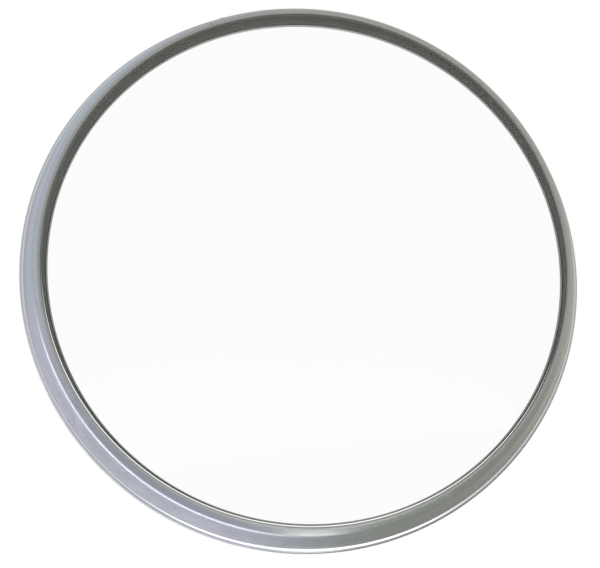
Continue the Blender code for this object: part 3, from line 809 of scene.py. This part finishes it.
def make_knob(prefix, place):
    """A six-lobed knob: a raised hub, a shallow groove round it and well rounded lobes."""
    half, groove_half, lobe_half = KNOB_HALF, 0.0058, 0.0065
    insert_r, hub = 0.0060, 0.0090
    groove_in, groove_out, shoulder, lobe = 0.0096, 0.0112, 0.0120, 0.0160
    upper = [(insert_r + GAP, half), (hub, half), (groove_in, groove_half), (groove_out, groove_half),
             (shoulder, lobe_half), (lobe, lobe_half)]
    lower = [(radius, -height) for radius, height in reversed(upper)]
    radii = [0.0004, 0.0006, 0.0004, 0.0004, 0.0006, 0.0026]

    def lobed(radius, height, angle):
        share = max(0.0, (radius - shoulder) / (lobe - shoulder))
        swell = 0.0016 * math.cos(6 * angle)
        return radius + swell * share * share * (3 - 2 * share), height

    outline = rounded_loop([*upper, *lower], [*radii, *reversed(radii)], 6)
    knob = lathe(prefix + "_knob_moulded", outline, 144, loop=True, warp=lobed)
    stand_for(moved(knob, place), prefix + "_knob")
    make_ring(prefix + "_insert_turned", prefix + "_knob_insert", place,
              inner=BORE_R, outer=insert_r, thickness=2 * half, edge=0.0004)


# Arm

def make_knuckle(name, node, turn, to_tube):
    """A cast barrel on a joint's axis, with a collar and the spigot that fills the arm tube's end."""
    eye_half = 0.0125
    axis = joint_frame(turn)
    corners = [(BORE_R, eye_half), (EYE_R, eye_half), (EYE_R, -eye_half), (BORE_R, -eye_half)]
    barrel = lathe(name, rounded_loop(corners, [0.0005, 0.0009, 0.0009, 0.0005]), BARREL_STEPS, loop=True)
    moved(barrel, axis)
    collar_r, spigot_r = 0.0106, 0.0087
    foot, collar_end, spigot_end = 0.0070, 0.0132, 0.038
    corners = [(0, foot), (collar_r, foot), (collar_r, collar_end), (spigot_r, collar_end),
               (spigot_r, spigot_end), (0, spigot_end)]
    spigot = lathe("spigot", rounded(corners, [0, 0.0006, 0, 0.0008]), BARREL_STEPS)
    moved(spigot, Matrix.Translation(axis.translation) @ to_tube)
    stand_for(soften(combine(barrel, spigot, "UNION"), 0.0004, 2), node)


def make_arm_tube():
    """Drawn tube, with a hole across each end for its spring pin."""
    low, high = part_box("arm_tube")
    half = (high.y - low.y) / 2
    outer, inner = high.x, 0.009
    outline = rounded_loop([(inner, half), (outer, half), (outer, -half), (inner, -half)], 0.0004)
    rows = 24
    reach = half - 0.001
    sides = [(outer, reach - 2 * reach * row / rows) for row in range(1, rows)]
    top = [point for point in outline if point[1] > 0]
    bottom = [point for point in outline if point[1] < 0]
    tube = lathe("arm_tube_drawn", [*top, *sides, *bottom], 96, loop=True)
    moved(tube, Matrix.Translation((0, (low.y + high.y) / 2, 0)) @ TO_Y)
    drill_half = 0.02
    drill = [(0, drill_half), (PIN_HOLE_R, drill_half), (PIN_HOLE_R, -drill_half), (0, -drill_half)]
    for node in numbered("knuckle_pin", 2):
        combine(tube, moved(lathe("bore", drill, 32), Matrix.Translation(centre(node))))
    stand_for(tube, "arm_tube")


def make_pins():
    """Spring pins through tube and spigot, with chamfered ends."""
    low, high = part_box("knuckle_pin_1")
    radius = (high.x - low.x) / 2
    half = (high.z - low.z) / 2
    corners = [(0, half), (radius, half), (radius, -half), (0, -half)]
    template = lathe("spring_pin", rounded(corners, [0.0005, 0.0005], 2), 32)
    stand_for_each(template, lambda node: Matrix.Translation(centre(node)), numbered("knuckle_pin", 2))


# Brackets

def weld_bead(length, radius, place):
    """A short run of weld, rippled by its passes."""
    ripple = 0.0021
    rows = int(length / ripple * 8)
    heights = [length * (row / rows - 0.5) for row in range(rows + 1)]
    profile = [(0, heights[-1] + radius * 0.6)]
    for height in reversed(heights):
        fade = min(1.0, (length / 2 - abs(height)) / radius + 0.55)
        profile.append((radius * fade * (1 + 0.09 * math.cos(FULL_TURN * height / ripple)), height))
    profile.append((0, heights[0] - radius * 0.6))
    return moved(lathe("weld_bead", profile, 20), place)


def make_fork(name, node, base, base_place, reach, ear_place):
    """A base plate with two drilled ears welded on, either side of a joint."""
    thick = SHEET_FORK
    fork = moved(plate(name, base, thick), base_place)
    soften(fork, 0.0005)
    fork.modifiers.clear()
    outlines = [tongue(EAR_HALF, reach), circle((0, reach), BORE_R)]
    beads = []
    for side in (-1, 1):
        place = ear_place(side * EAR_MIDDLE)
        ear = moved(plate("ear", outlines, thick), place)
        soften(ear, 0.0004)
        ear.modifiers.clear()
        combine(fork, ear, "UNION")
        lift = thick / 2 + 0.0004
        corner = Matrix.Translation((0, lift, side * lift))
        beads.append(place @ corner @ Matrix.Rotation(QUARTER, 4, "Y"))
    for bead in beads:
        combine(fork, weld_bead(length=2 * EAR_HALF - 0.003, radius=0.0019, place=bead), "UNION")
    fork.modifiers.new("flat_faces", "WEIGHTED_NORMAL").keep_sharp = True
    stand_for(fork, node)


def make_tilt_bracket():
    """The fork that is bolted to the mirror's back."""
    low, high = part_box("tilt_bracket")
    bolts = [centre(node) for node in numbered("bracket_bolt", 4)]
    edge = rounded_loop(box_corners(high.x, high.z), 0.008, 12)
    holes = [circle((bolt.x, bolt.z), HOLE_R) for bolt in bolts]
    middle = low.y + SHEET_FORK / 2
    reach = joint_frame("tilt").translation.y - middle

    def ear_place(offset):
        return Matrix.Translation((offset, middle, 0)) @ Matrix.Rotation(QUARTER, 4, "Y")

    base_place = Matrix.Translation((0, middle, 0)) @ TO_MINUS_Y
    make_fork("tilt_bracket_welded", "tilt_bracket", [edge, *holes], base_place, reach, ear_place)


def make_pan_clevis():
    """The fork that is riveted to the wall plate."""
    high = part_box("pan_clevis")[1]
    rivets = [centre(node) for node in numbered("clevis_rivet", 4)]
    edge = rounded_loop(box_corners(high.x, high.z), 0.006, 12)
    holes = [circle((rivet.x, rivet.z), RIVET_HOLE_R, 24) for rivet in rivets]
    middle = high.y - SHEET_FORK / 2
    reach = middle - joint_frame("pan").translation.y

    def ear_place(offset):
        return Matrix.Translation((0, middle, offset)) @ Matrix.Rotation(math.pi, 4, "Z")

    base_place = Matrix.Translation((0, middle, 0)) @ TO_MINUS_Y
    make_fork("pan_clevis_welded", "pan_clevis", [edge, *holes], base_place, reach, ear_place)


def make_wall_plate():
    """The plate on the wall, with its corners and edges rounded."""
    low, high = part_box("wall_plate")
    rivets = [centre(node) for node in numbered("clevis_rivet", 4)]
    screw_spots = box_corners(WALL_HOLE_X, WALL_HOLE_Z)
    outlines = [rounded_loop(box_corners(high.x, high.z), 0.010, 12)]
    outlines += [circle(spot, WALL_HOLE_R) for spot in screw_spots]
    outlines += [circle((rivet.x, rivet.z), RIVET_HOLE_R, 24) for rivet in rivets]
    wall = moved(plate("wall_plate_pressed", outlines, high.y - low.y),
                 Matrix.Translation((0, (low.y + high.y) / 2, 0)) @ TO_MINUS_Y)
    stand_for(soften(wall, 0.0005), "wall_plate")


# Studio

def make_floor():
    """A plain pale floor far below the mirror, which hangs high up. It stops short of the wall."""
    width, depth, near, level = 24, 12, -1.1, -2.2
    bpy.ops.mesh.primitive_plane_add(size=1, location=(0, near - depth / 2, level))
    floor = bpy.context.object
    floor.name = "floor"
    floor.data.transform(Matrix.Diagonal((width, depth, 1, 1)))
    f = Finish("floor_paint", (0.90, 0.90, 0.895), 0.7)
    floor.data.materials.append(f.finish(roughness=f.remap(f.noise(6.0), 0.3, 0.7, 0.62, 0.78)))


def make_world():
    """A white studio in front. Behind, it is cool to the left and warm to the right, with a bright strip
    low on the left that draws the line along the rim's ridge. Under the mirror it is as dim as behind."""
    world = bpy.data.worlds.new("studio")
    bpy.context.scene.world = world
    world.use_nodes = True
    tree = world.node_tree
    tree.nodes.clear()

    def add(kind, inputs, **settings):
        made = tree.nodes.new("ShaderNode" + kind)
        for key, value in settings.items():
            setattr(made, key, value)
        for key, value in inputs.items():
            if isinstance(value, bpy.types.NodeSocket):
                tree.links.new(value, made.inputs[key])
            else:
                made.inputs[key].default_value = value
        return made

    way = add("SeparateXYZ", {0: add("TexCoord", {}).outputs["Generated"]})
    ray = add("LightPath", {})

    def band(axis, low, high):
        """Rises from 0 to 1 between two values of one axis of the direction."""
        inputs = {0: way.outputs[axis], 1: min(low, high), 2: max(low, high)}
        inputs |= {3: 0.0, 4: 1.0} if low < high else {3: 1.0, 4: 0.0}
        return add("MapRange", inputs, interpolation_type="SMOOTHSTEP").outputs["Result"]

    def blend(factor, low, high):
        return add("Mix", {0: factor, 6: low, 7: high}, data_type="RGBA").outputs[2]

    def both(*factors):
        product = factors[0]
        for factor in factors[1:]:
            product = add("Math", {0: product, 1: factor}, operation="MULTIPLY").outputs[0]
        return product

    def grey(level):
        return (level, level, level, 1)

    above = blend(band("X", -0.6, 0.4), (0.66, 0.71, 0.78, 1), (0.59, 0.58, 0.50, 1))
    below = blend(band("X", -0.1, 0.5), (0.40, 0.43, 0.49, 1), (0.36, 0.37, 0.31, 1))
    behind = blend(band("Z", -0.45, 0.15), below, above)
    behind = blend(band("Y", 0.88, 0.97), behind, (0.20, 0.205, 0.215, 1))
    strip_depth = both(band("Y", 0.34, 0.46), band("Y", 0.64, 0.52))
    strip = both(strip_depth, band("X", 0.15, -0.15), band("Z", 0.10, -0.20))
    behind = blend(strip, behind, (3.2, 3.15, 3.4, 1))
    around = blend(band("Y", -0.10, 0.06), grey(1.02), behind)
    under = both(band("Y", -0.40, -0.20), band("Z", -0.05, -0.30))
    around = blend(under, around, behind)
    even = blend(ray.outputs["Is Diffuse Ray"], around, grey(1.20))
    seen = blend(ray.outputs["Is Camera Ray"], even, grey(1.0))
    background = add("Background", {"Color": seen, "Strength": 1.0})
    add("OutputWorld", {0: background.outputs[0]})


def make_light(name, at, aim, size, power, colour=(1, 1, 1)):
    data = bpy.data.lights.new(name, "AREA")
    data.shape = "DISK"
    data.size = size
    data.energy = power
    data.color = colour
    light = bpy.data.objects.new(name, data)
    bpy.context.scene.collection.objects.link(light)
    light.location = at
    light.rotation_euler = (Vector(aim) - Vector(at)).to_track_quat("-Z", "Y").to_euler()
    light.visible_camera = False
    return light


def keep_off(light, slot):
    """Leaves the pieces of one finish out of a light."""
    unlit = bpy.data.collections.new(light.name + "_unlit")
    light.light_linking.receiver_collection = unlit
    for piece in bpy.context.scene.objects:
        if piece.type == "MESH" and FINISH[slot].name in piece.data.materials:
            unlit.objects.link(piece)
    for member in unlit.collection_objects:
        member.light_linking.link_state = "EXCLUDE"


def make_camera():
    """Below the mirror's middle and a little to its left, looking up and to the right."""
    data = bpy.data.cameras.new("camera")
    data.sensor_width = 36
    data.lens = 72.5
    camera = bpy.data.objects.new("camera", data)
    bpy.context.scene.collection.objects.link(camera)
    camera.location = (-0.1078, -1.14, -0.2454)
    camera.rotation_euler = Vector((0.1113, 1.0, 0.2482)).to_track_quat("-Z", "Y").to_euler()
    bpy.context.scene.camera = camera


make_rim()
make_dome()
make_gasket()
make_back_pan()
make_pan_screws()
make_splice_rivets()
make_bracket_bolts()
make_tilt_bracket()
make_knuckle("front_knuckle_cast", "front_knuckle", "tilt", TO_Y)
make_knuckle("rear_knuckle_cast", "rear_knuckle", "pan", TO_MINUS_Y)
make_arm_tube()
make_pins()
make_joint_hardware("tilt", "tilt_knob_turn")
make_joint_hardware("pan", "pan_knob_turn")
make_pan_clevis()
make_clevis_rivets()
make_wall_plate()

for node, part in frame["nodes"].items():
    part.data.materials.clear()
    part.data.materials.append(FINISH[SLOT_OF[node]])

make_floor()
make_world()
low_front = make_light("low_front", at=(0.13, -0.95, -0.74), aim=(0.13, -0.95, 0), size=1.2, power=5.5)
keep_off(low_front, "mirror_face")
make_light("warm_low", at=(0.07, -0.15, -0.70), aim=(0.02, -0.24, -0.22), size=0.18, power=0.13,
           colour=(1.0, 0.94, 0.87))
make_camera()
bpy.context.scene.view_settings.view_transform = "Standard"
